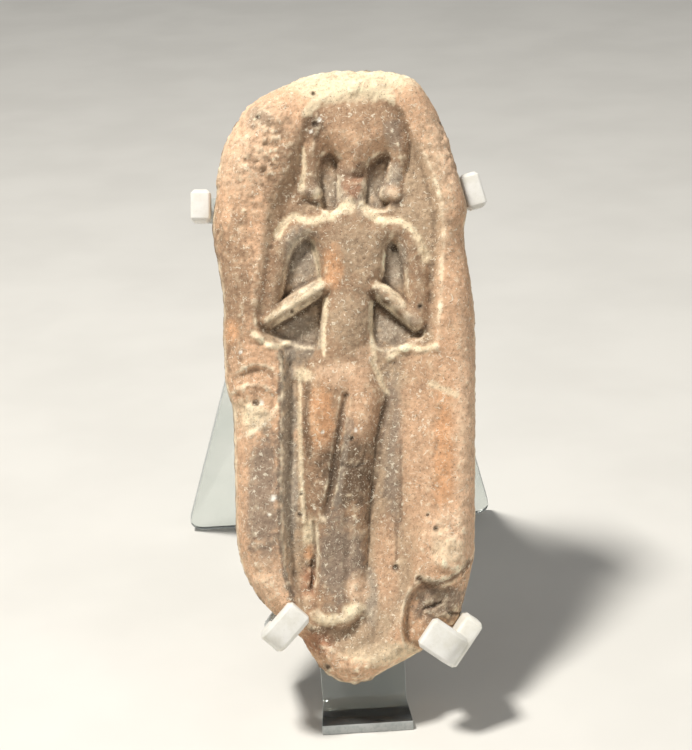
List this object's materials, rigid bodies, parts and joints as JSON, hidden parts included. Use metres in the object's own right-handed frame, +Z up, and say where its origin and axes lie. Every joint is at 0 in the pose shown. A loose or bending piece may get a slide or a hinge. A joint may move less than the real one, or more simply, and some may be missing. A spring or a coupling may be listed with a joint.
{
  "type": "goddess relief plaque on a clear easel",
  "caption": "Small fired-clay relief plaque of a standing goddess, worn and chipped, held upright and leaning back by a clear bent-sheet easel with padded arms.",
  "frame": {"origin": "on the table under the middle of the whole object's box", "axes": "+Z up, the relief faces -Y, +X to the right as seen from the front"},
  "size_m": [0.0834, 0.1186, 0.1416],
  "materials": {
    "fired_clay": "worn unglazed fired clay, rough, stained grey and brown",
    "clear_acrylic": "clear polished sheet with frosted sawn edges",
    "white_silicone": "soft milky white, satin"
  },
  "bodies": {
    "root": {"plaque": "fired_clay", "easel": "clear_acrylic", "arm_upper_left": "clear_acrylic", "arm_upper_right": "clear_acrylic", "arm_lower_left": "clear_acrylic", "arm_lower_right": "clear_acrylic", "pad_upper_left": "white_silicone", "pad_upper_right": "white_silicone", "pad_lower_left": "white_silicone", "pad_lower_right": "white_silicone"}
  },
  "joints": []
}
